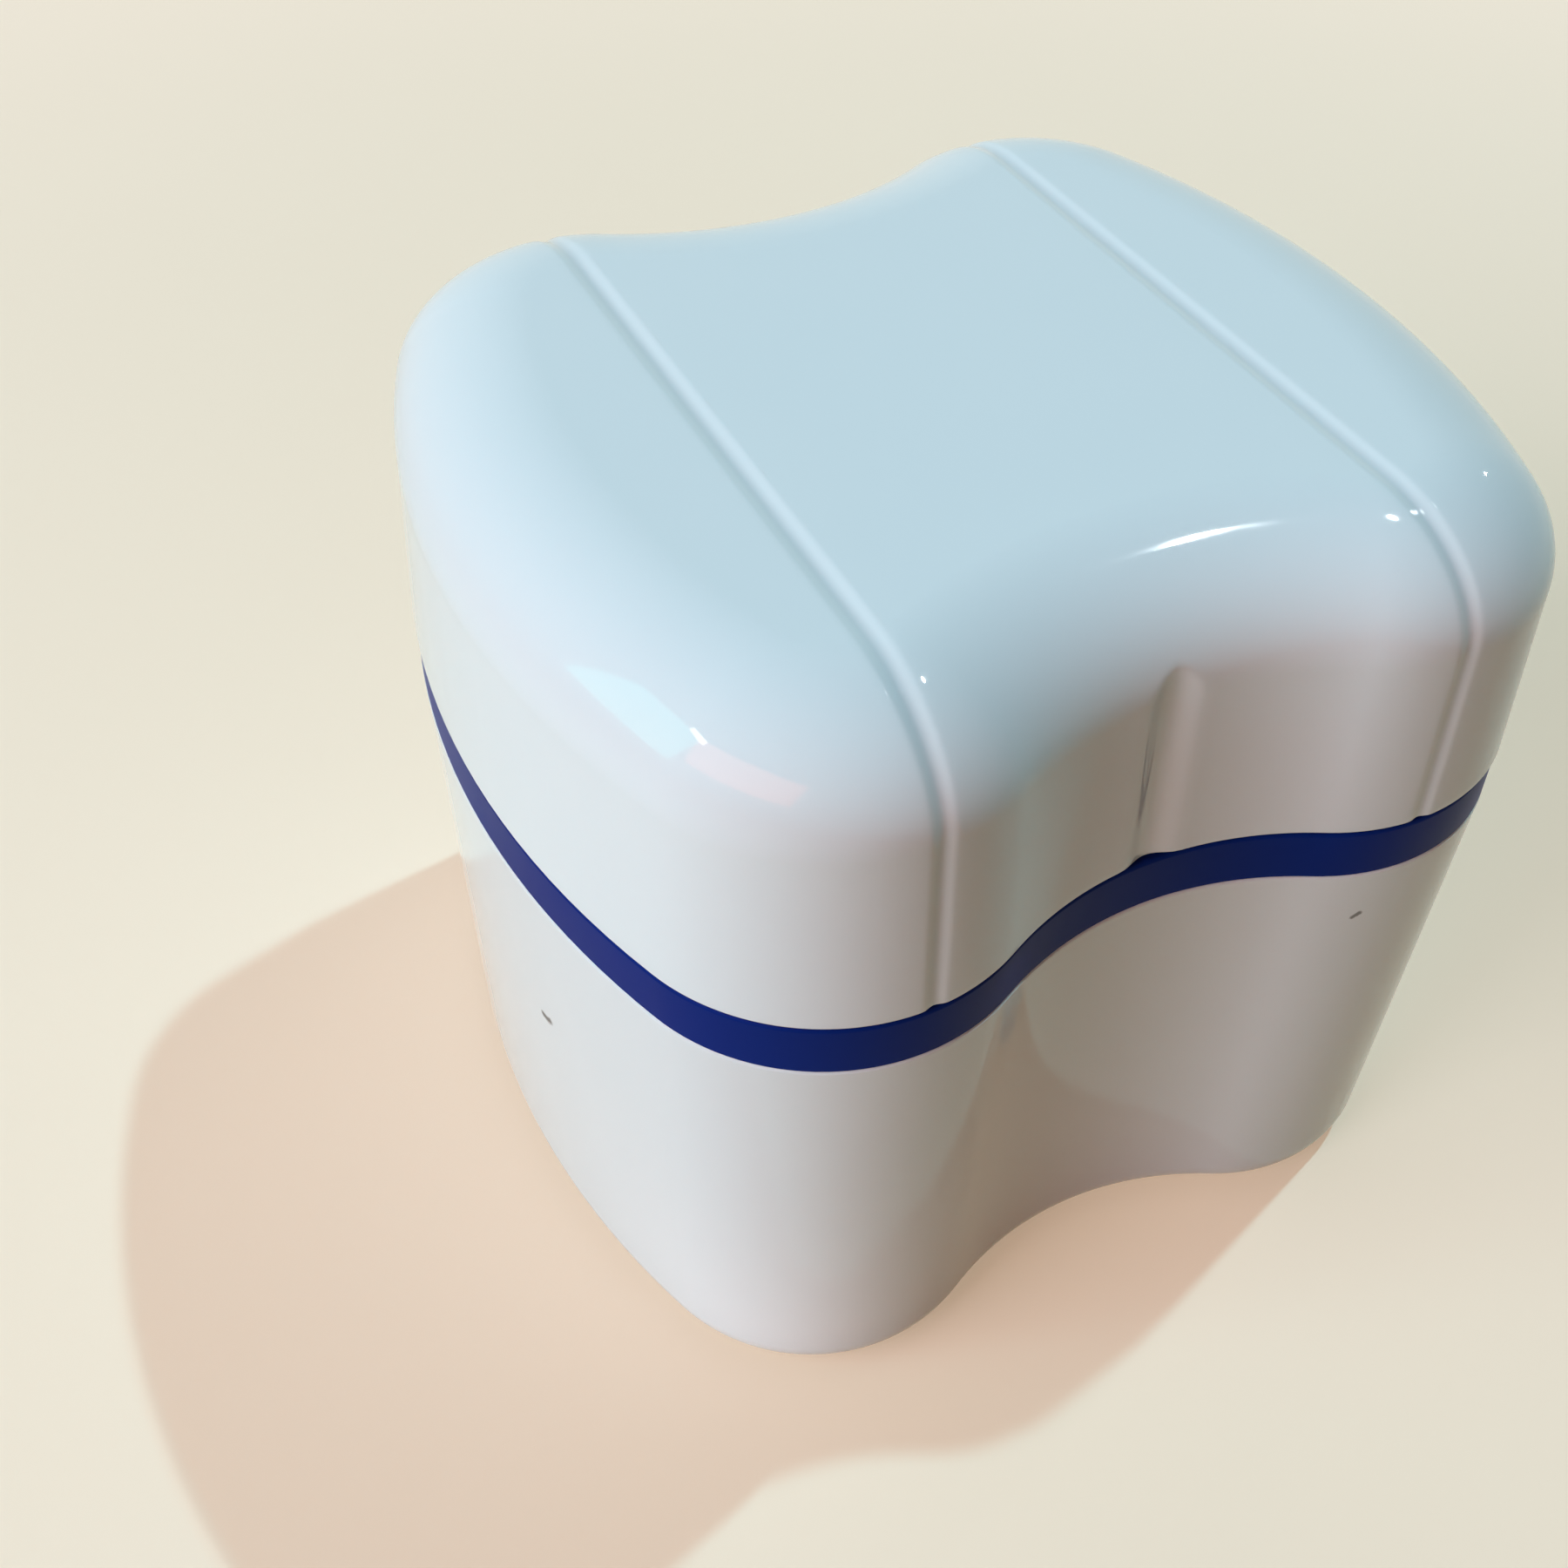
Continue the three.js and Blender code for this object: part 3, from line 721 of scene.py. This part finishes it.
def make_lid(finish):
    """Lid: ceiling, rib over the seal, rounded rim, drafted skirt, shoulder, crown and grooves."""
    shoulder = lid_inset(shoulder_height)
    crown = shoulder + shoulder_reach
    ceiling = lid_top - lid_top_wall
    rib = lid_inset(seal_high.z) + shell_wall + fit_gap + seal_width
    rib_bottom = seal_high.z + fit_gap
    rib_top = rib_bottom + rib_height
    rim_end = lid_rim + rim_stretch
    inner_shoulder = (shoulder + shell_wall, shoulder_height)
    inside = bend((crown, ceiling), inner_shoulder, steps=12, leaves_upright=False)
    inside += rounded(
        [
            (shoulder + shell_wall, shoulder_height - skirt_lead, 0),
            (lid_inset(rib_top) + shell_wall, rib_top, rib_round),
            (rib, rib_top, rib_round),
            (rib, rib_bottom, rib_round),
            (lid_inset(rib_bottom) + shell_wall, rib_bottom, 0),
            (lid_inset(rim_end) + shell_wall, rim_end, 0),
            (shell_wall, lid_rim, rim_round),
            (shell_wall / 2, lid_rim, 0),
        ]
    )
    grooved = rounded(
        [
            (shell_wall / 2 - skirt_lead, lid_rim, 0),
            (0, lid_rim, rim_round),
            (lid_inset(rim_end), rim_end, 0),
        ]
    )
    outer = [(inset, z, 0) for inset, z in grooved]
    outer += [(lid_inset(z), z, 0) for z in np.linspace(rim_end, shoulder_height, 10)[1:-1]]
    for share in np.linspace(0, 1, 37):
        turn = share * math.pi / 2
        lean = math.atan2(shoulder_reach * math.sin(turn), shoulder_drop * math.cos(turn))
        outer.append(
            (
                shoulder + shoulder_reach * (1 - math.cos(turn)),
                shoulder_height + shoulder_drop * math.sin(turn),
                lean,
            )
        )
    groove_sizes = (
        (crown_groove_from_crest, wall_groove_from_crest),
        (crown_groove_width, wall_groove_width),
        (crown_groove_depth, wall_groove_depth),
    )
    points, normals = lid_columns
    rings = [ring(lid_columns, *p) for p in inside]
    for inset, z, lean in outer:
        x = points[:, 0] - normals[:, 0] * inset
        upright = math.cos(lean)
        from_crest, width, depth = (
            on_crown + (on_wall - on_crown) * upright for on_crown, on_wall in groove_sizes
        )
        groove_x = outline.corner_x - from_crest
        recession = max(0, inset - shoulder) if z > shoulder_height else 0
        waist_groove = waist_groove_depth * round_valley(x) - recession
        waist_groove = (waist_groove + np.sqrt(waist_groove**2 + waist_groove_fade**2)) / 2
        waist_groove = waist_groove * (round_valley(x) > 0) * (recession < waist_groove_reach)
        pull = depth * straight_valley(np.abs(x) - groove_x, width) + waist_groove
        near_edge = np.clip((shell_wall / 2 - inset) / groove_rim_fade, 0, 1) if z == lid_rim else 1
        pull = pull * near_edge
        rings.append(ring(lid_columns, inset + pull * upright, z - pull * math.sin(lean)))
    skin = Skin()
    first, last = skin.loft(rings)
    skin.span(first, rings[0], steps=16, upward=False)
    skin.span(last, rings[-1], steps=24)
    return skin.piece("lid", "lid_shell", "lid", finish)


def make_band(finish):
    """Rim band: spigot in the tub, flange that shows, neck in the lid and ledge."""
    spigot_bottom = band_low.z
    spigot = base_inset(spigot_bottom) + shell_wall + fit_gap
    profile = rounded(
        [
            (spigot, spigot_bottom, spigot_round),
            (base_inset(band_bottom) + shell_wall + fit_gap, band_bottom, 0),
            (shell_wall, band_bottom, 0),
            (shell_wall - rim_round, base_height + band_seat, 0),
            (band_foot_inset, base_height + band_seat, flange_round),
            (band_head_inset, band_top, neck_round),
            (lid_inset(band_top) + shell_wall + fit_gap, band_top, 0),
            (neck_inset - band_wall, neck_top, neck_round),
            (neck_inset, neck_top, neck_round),
            (neck_inset, band_top, 0),
            (ledge_inset, band_top, ledge_round),
            (ledge_inset, band_bottom, ledge_round),
            (spigot + band_wall, band_bottom, 0),
            (spigot + band_wall, spigot_bottom, spigot_round),
        ],
        closed=True,
    )
    skin = Skin()
    skin.loft([ring(plain_columns, *p) for p in profile], closed=True)
    return skin.piece("band", "rim_band", "tub", finish)


def make_seal(finish):
    """Seal: a soft ring with a rounded section."""
    inset = lid_inset(seal_high.z) + shell_wall + fit_gap
    profile = rounded(
        [
            (inset, seal_low.z, seal_round),
            (inset, seal_high.z, seal_round),
            (inset + seal_width, seal_high.z, seal_round),
            (inset + seal_width, seal_low.z, seal_round),
        ],
        closed=True,
    )
    skin = Skin()
    skin.loft([ring(plain_columns, *p) for p in profile], closed=True)
    return skin.piece("seal", "lid_seal", "lid", finish)


def slot_holes(middle, length):
    """Loops of the upright slots, on a wall unrolled by distance along it and height."""
    radius = slot_width / 2
    straight = slot_height / 2 - radius
    holes = []
    for k in range(slot_count):
        centre = (k + 0.5) / slot_count * length

        def hole(offset, centre=centre):
            loop = []
            for up, start in ((straight, 0), (-straight, 180)):
                for a in np.radians(np.linspace(start, start + 180, 11)):
                    reach = radius + offset
                    loop.append((centre + reach * math.cos(a), middle + up + reach * math.sin(a)))
            return loop

        holes.append(hole)
    return holes


def drain_holes(limit):
    """Loops of the round drains in staggered rows over the flat of the floor."""
    radius = drain_diameter / 2
    row_pitch = drain_pitch * math.sqrt(3) / 2
    rows = math.floor(case_depth / 2 / row_pitch)
    columns = math.floor(case_width / 2 / drain_pitch)
    edge = ring(plain_columns, limit, 0)[:, :2]
    holes = []
    for row in range(-rows, rows + 1):
        shift = 0 if row % 2 == 0 else drain_pitch / 2
        for column in range(-columns - 1, columns + 1):
            x, y = column * drain_pitch + shift, row * row_pitch
            if is_within((x, y), edge):

                def hole(offset, x=x, y=y):
                    angles = np.linspace(0, 2 * math.pi, 24, endpoint=False)
                    reach = radius + offset
                    return [(x + reach * math.cos(a), y + reach * math.sin(a)) for a in angles]

                holes.append(hole)
    return holes


def make_basket(finish):
    """Basket: slotted wall, drained floor, rounded edge, lip, ears with sockets and rests."""
    skin = Skin()
    panel_bottom = basket_bottom + basket_edge_radius
    slot_middle = basket_bottom + slot_rise + slot_height / 2
    panel_top = slot_middle + slot_height / 2 + slot_margin
    reference = basket_inset(slot_middle) + basket_wall / 2
    length = outline.length(reference)
    count = 264
    stations = np.arange(count) / count * length
    columns = outline.walk(stations, reference)

    def on_wall(flat, depth):
        points, normals = outline.walk(flat[:, 0], reference)
        inset = basket_inset(flat[:, 1]) + depth
        return np.column_stack([points - normals * inset[:, None], flat[:, 1]])

    heights = np.linspace(panel_bottom, panel_top, 14)
    along = [*stations, length]
    border = [(s, panel_bottom) for s in along[:-1]] + [(length, z) for z in heights[:-1]]
    border += [(s, panel_top) for s in along[:0:-1]] + [(0, z) for z in heights[:0:-1]]
    inner = [(s, z) for s in stations[1:] for z in heights[1:-1]]
    skin.pierced(on_wall, border, inner, slot_holes(slot_middle, length), basket_wall, hole_round)

    edge = (basket_inset(panel_bottom), panel_bottom)
    flat_inset = edge[0] + basket_edge_radius
    floor_top = basket_bottom + basket_floor
    lip = neck_inset + fit_gap
    lip_start = basket_lip_bottom - rim_stretch
    mouth_end = basket_mouth - mouth_stretch
    outside = bend((flat_inset, basket_bottom), edge, steps=8, leaves_upright=False)
    skin.loft([ring(columns, *p) for p in outside])
    above = [(basket_inset(z), z) for z in np.linspace(panel_top, basket_lip_bottom, 4)[:-1]]
    above += rounded(
        [
            (basket_inset(lip_start), lip_start, 0),
            (basket_inset(basket_lip_bottom), basket_lip_bottom, 0),
            (lip, basket_lip_bottom, lip_under_round),
            (lip, basket_mouth, lip_outer_round),
            (basket_wall_inset + basket_wall, basket_mouth, lip_inner_round),
            (basket_inset(mouth_end) + basket_wall, mouth_end, 0),
        ]
    )
    above += [(basket_inset(z) + basket_wall, z) for z in np.linspace(mouth_end, panel_top, 4)[1:]]
    skin.loft([ring(columns, *p) for p in above])
    inner_edge = (edge[0] + basket_wall, panel_bottom)
    inside = bend(inner_edge, (flat_inset, floor_top), steps=8, leaves_upright=True)
    skin.loft([ring(columns, *p) for p in inside])

    def on_floor(flat, depth):
        return np.column_stack([flat, np.full(len(flat), floor_top - depth)])

    floor_edge = ring(columns, flat_inset, 0)[:, :2]
    drains = drain_holes(flat_inset + drain_diameter / 2 + drain_margin)
    skin.pierced(on_floor, floor_edge.tolist(), [], drains, basket_floor, hole_round)

    ear_wall = case_width / 2 - basket_inset(pivot_height) - basket_wall
    ear_face = ear_wall - ear_depth
    socket = stud_diameter / 2 + fit_gap
    for side in (-1, 1):
        profile = [
            (socket, socket_depth),
            (socket, socket_round),
            (socket + socket_bevel, socket_bevel),
            (socket + socket_round, 0),
            *[(ear_diameter / 2 - ear_round * a, ear_round * b) for a, b in ear_round_shares],
            (ear_diameter / 2, ear_depth + basket_wall / 2),
        ]
        skin.turned(profile, (side * ear_face, 0, pivot_height), (side, 0, 0))
    add_rests(skin, ear_face)
    return skin.piece("basket", "rinse_basket", "basket", finish, 35, weighted=False)


def add_rests(skin, ear_face):
    """Wedges under the folded bail's arms, one on each side at the front and at the back."""
    top = pivot_height - bail_thickness / 2 - fit_gap
    inner = ear_face - fit_gap - bail_width
    rest_sections = (
        (-1, rest_bevel),
        (-rest_bevel_share, 0),
        (rest_bevel_share, 0),
        (1, rest_bevel),
    )
    for side in (-1, 1):
        for end in (-1, 1):
            y = end * (-bail_low.y) * rest_reach_share
            outer = side_reach(y, basket_inset(top) + basket_wall / 2)
            drop = rest_height + (outer - inner)
            corners = [(inner, top, rest_round), (outer, top - drop, 0), (outer, top, 0)]
            shape = rounded(corners, closed=True, steps=3)
            rings = []
            for along, shrink in rest_sections:
                loop = [(side * (x + (shrink if x < outer else 0)), z - shrink) for x, z in shape]
                rings.append([(x, y + along * rest_length / 2, z) for x, z in loop])
            first, last = skin.loft(rings)
            skin.faces.append(tuple(first[::-1]))
            skin.faces.append(tuple(last))


def make_bail(finish):
    """Bail, folded towards the front: rounded arms, round corners, finger pad and studs."""
    half_width = side_reach(0, basket_inset(pivot_height) + basket_wall) - ear_depth - fit_gap
    reach = -bail_low.y
    arm = bail_width / 2
    path = []
    for a in np.linspace(0, 90, 9)[:-1]:
        y = arm * math.cos(math.radians(a))
        half = math.sqrt(max(arm**2 - y**2, 0)) + bail_tip_width / 2
        path.append(((half_width, y), (-1, 0), arm - half, arm + half))
    for y in np.linspace(0, bail_corner_radius - reach, 6)[:-1]:
        path.append(((half_width, y), (-1, 0), 0, bail_width))
    centre = (half_width - bail_corner_radius, bail_corner_radius - reach)
    for a in np.linspace(0, 90, 13):
        out = (math.cos(math.radians(a)), -math.sin(math.radians(a)))
        place = (centre[0] + bail_corner_radius * out[0], centre[1] + bail_corner_radius * out[1])
        path.append((place, (-out[0], -out[1]), 0, bail_width))
    for lead in (pad_lead_far, pad_lead_near):
        path.append(((pad_length / 2 + pad_taper + lead, -reach), (0, 1), 0, bail_width))
    for share in np.linspace(0, 1, 9):
        eased = share * share * (3 - 2 * share)
        x = pad_length / 2 + pad_taper * (1 - share)
        path.append(((x, -reach), (0, 1), 0, bail_width + (pad_width - bail_width) * eased))
    path.append(((pad_length / 4, -reach), (0, 1), 0, pad_width))
    path.append(((0, -reach), (0, 1), 0, pad_width))
    mirrored = [((-p[0], p[1]), (-n[0], n[1]), a, b) for p, n, a, b in path[-2::-1]]
    skin = Skin()
    rings = []
    half_height = bail_thickness / 2
    for (x, y), (across_x, across_y), low, high in path + mirrored:
        soft = min(bail_round, (high - low) * bail_round_limit_share)
        section = rounded(
            [
                (low, -half_height, soft),
                (high, -half_height, soft),
                (high, half_height, soft),
                (low, half_height, soft),
            ],
            closed=True,
            steps=4,
        )
        rings.append([(x + across_x * s, y + across_y * s, pivot_height + h) for s, h in section])
    first, last = skin.loft(rings)
    skin.faces.append(tuple(first[::-1]))
    skin.faces.append(tuple(last))
    for side in (-1, 1):
        tip = arm + stud_length
        radius = stud_diameter / 2
        profile = [
            (radius - stud_root_taper, stud_root - stud_root_taper),
            (radius, stud_root),
            (radius, tip - stud_round),
            (radius - stud_bevel, tip - stud_bevel),
            (radius - stud_round, tip),
        ]
        skin.turned(profile, (side * (half_width - arm), 0, pivot_height), (side, 0, 0), 24)
    return skin.piece("bail", "basket_bail", "bail", finish)


# Two small dark marks of use on the tub, at its left side and beside its front waist.
tub_marks = (
    ((-44.81 * mm, -12.44 * mm, 31.34 * mm), (-44.62 * mm, -13.66 * mm, 31.56 * mm), 0.66 * mm),
    ((19.31 * mm, -41.43 * mm, 43.21 * mm), (19.83 * mm, -41.53 * mm, 43.65 * mm), 0.44 * mm),
)
make_tub(white_gloss("white_tub", tub_marks))
make_band(blue_plastic("band_blue", band_blue, sheen=0.34, gloss=0.05))
make_basket(blue_plastic("basket_blue", basket_blue, sheen=0.24))
make_bail(white_satin("bail_white"))
make_lid(white_gloss("white_lid", grooved=True))
make_seal(milky_rubber("seal_milky"))


def background_part(finish):
    """1 where the background shows: straight to the camera, in a mirror or through glass."""
    camera = finish.node("ShaderNodeLightPath", out="Is Camera Ray")
    glossy = finish.node("ShaderNodeLightPath", out="Is Glossy Ray")
    through = finish.node("ShaderNodeLightPath", out="Is Transmission Ray")
    return camera.larger(glossy).larger(through)


# Colours of the scene around the case.
backdrop = colour(0.9, 0.83, 0.72)
dim_room = colour(0.012, 0.012, 0.012)
floor_thrown = (colour(0.4, 0.29, 0.17), colour(0.42, 0.31, 0.185))
floor_pale = (colour(0.68, 0.565, 0.473), colour(0.7, 0.585, 0.493))
floor_lift = colour(0.362, 0.285, 0.202)
no_lift = colour(0, 0, 0)


def make_floor():
    """Cream floor with the case's shadow on it. Far from the case it turns into the backdrop.

    The case is lit by the thrown colour. The camera sees the pale one with an even lift added."""
    mesh = bpy.data.meshes.new("floor")
    reach = 3
    shadow_reach = 140 * mm
    backdrop_start = 500 * mm
    corners = [(-reach, -reach, 0), (reach, -reach, 0), (reach, reach, 0), (-reach, reach, 0)]
    mesh.from_pydata(corners, [], [(0, 1, 2, 3)])
    floor = bpy.data.objects.new("floor", mesh)
    bpy.context.scene.collection.objects.link(floor)
    finish = Finish(bpy.data.materials.new("cream_floor"))
    shown = background_part(finish)
    place = finish.place()
    fibre = finish.noise(place, 60 * mm, detail=3)
    thrown = finish.blend(fibre, *floor_thrown)
    pale = finish.blend(fibre, *floor_pale)
    matt = finish.node("ShaderNodeBsdfDiffuse", None, {"Color": finish.blend(shown, thrown, pale)})
    lift = finish.blend(shown, no_lift, floor_lift)
    glow = finish.node("ShaderNodeEmission", None, {"Color": lift, "Strength": 1})
    near = finish.node("ShaderNodeAddShader", None, {0: matt, 1: glow})
    away = finish.node("ShaderNodeVectorMath", {"operation": "LENGTH"}, {0: place}, out="Value")
    even = finish.node("ShaderNodeEmission", None, {"Color": backdrop, "Strength": 1})
    share = shown * away.between(shadow_reach, backdrop_start)
    whole = finish.node("ShaderNodeMixShader", None, {0: share, 1: near, 2: even})
    mesh.materials.append(finish.surface(whole))


def make_world():
    """Pale backdrop. The room itself is dim."""
    world = bpy.data.worlds.new("studio")
    bpy.context.scene.world = world
    finish = Finish(world)
    tint = finish.blend(background_part(finish), dim_room, backdrop)
    light = finish.node("ShaderNodeBackground", None, {"Color": tint, "Strength": 1})
    finish.node("ShaderNodeOutputWorld", None, {"Surface": light})


lamp_aim = (0, -10 * mm, 70 * mm)
card_height = 0.5 * mm


def new_lamp(name, shape, size, power, tint):
    """An area lamp in the scene, not yet placed. Its size is its width and its height."""
    lamp = bpy.data.lights.new(name, "AREA")
    lamp.shape = shape
    lamp.size, lamp.size_y = size
    lamp.energy = power
    lamp.color = tint
    holder = bpy.data.objects.new(name, lamp)
    bpy.context.scene.collection.objects.link(holder)
    return holder


def add_light(name, shape, stand, size, level, tint, mirrored):
    """A lamp or softbox that faces the case. The level is how bright it lights a white card.

    It stands at an azimuth, an elevation and a distance, and azimuth 0 is the case's right
    side. One that isn't mirrored lights the case without a reflection in the gloss."""
    azimuth, elevation, distance = stand
    holder = new_lamp(name, shape, size, level * (math.pi * distance) ** 2, tint)
    turn, lift = math.radians(azimuth), math.radians(elevation)
    out = math.cos(lift)
    toward = Vector((out * math.cos(turn), out * math.sin(turn), math.sin(lift)))
    holder.location = Vector(lamp_aim) + toward * distance
    holder.rotation_euler = toward.to_track_quat("Z", "Y").to_euler()
    holder.visible_glossy = mirrored


def add_floor_card(azimuth, gap, size, level, tint):
    """A bright card that lies on the floor at the front left lobe and lights its foot from below.

    The level is the card's own brightness, and the gap is how far it lies from the lobe."""
    holder = new_lamp("floor_card", "RECTANGLE", size, level * math.pi * size[0] * size[1], tint)
    reach = corner_radius + gap + size[1] / 2
    turn = math.radians(azimuth)
    lobe = Vector((-outline.corner_x, corner_radius - case_depth / 2, card_height))
    holder.location = lobe + Vector((math.cos(turn), math.sin(turn), 0)) * reach
    holder.rotation_euler = (math.pi, 0, turn + math.pi / 2)
    holder.visible_camera = False
    holder.visible_glossy = False


# The camera's place and axes were fitted to the photograph's outline of the case.
camera_lens = 41.05
camera_sensor = 36
camera_place = (-68.47 * mm, -109.9 * mm, 160.28 * mm)
camera_right = (0.90176, -0.43219, 0.0066)
camera_back = (-0.3078, -0.6313, 0.7119)


def make_camera():
    """The photograph's view: from above the front left lobe, turned a little on its own axis."""
    camera = bpy.data.cameras.new("camera")
    camera.lens = camera_lens
    camera.sensor_width = camera_sensor
    camera.clip_start = 10 * mm
    holder = bpy.data.objects.new("camera", camera)
    bpy.context.scene.collection.objects.link(holder)
    back = Vector(camera_back).normalized()
    up = back.cross(Vector(camera_right).normalized()).normalized()
    place = Matrix((up.cross(back), up, back)).transposed().to_4x4()
    place.translation = Vector(camera_place)
    holder.matrix_world = place
    bpy.context.scene.camera = holder


# Each lamp: name, shape, (azimuth, elevation, distance), (width, height), level, tint, mirrored.
main_place = (15.3, 59.9, 1.6)
white_lamp = (0.9, 0.97, 1)
lamps = (
    ("main_light", "DISK", main_place, (0.04, 0.04), 0.37, (0.17, 0.796, 1), False),
    ("main_spark", "ELLIPSE", main_place, (0.075, 0.013), 0.15, white_lamp, True),
    ("left_light", "RECTANGLE", (183, 22, 1.2), (0.8, 0.8), 0.88, (0.58, 0.83, 0.98), False),
    ("back_fill", "RECTANGLE", (66, 11, 1.2), (1.3, 0.42), 0.3, (1, 0.9, 0.84), False),
    ("front_fill", "RECTANGLE", (-148, 8, 1.2), (0.6, 0.3), 0.105, (1, 0.88, 0.8), False),
    ("warm_window", "RECTANGLE", (-158, 38, 1.2), (1.07, 0.44), 0.26, (1, 0.2, 0.08), True),
    ("cool_window", "RECTANGLE", (160, 29, 1.2), (0.38, 0.52), 0.08, (0.1, 1, 0.95), True),
    ("window_gap", "RECTANGLE", (167, 43, 1.2), (0.2, 0.07), 0.03, white_lamp, True),
    ("far_spark", "DISK", (17, 23, 1), (0.018, 0.018), 0.02, white_lamp, True),
)

make_floor()
make_world()
for lamp in lamps:
    add_light(*lamp)
add_floor_card(azimuth=-132, gap=4 * mm, size=(50 * mm, 18 * mm), level=0.66, tint=(1, 0.8, 0.78))
make_camera()

bpy.context.scene.view_settings.view_transform = "Standard"
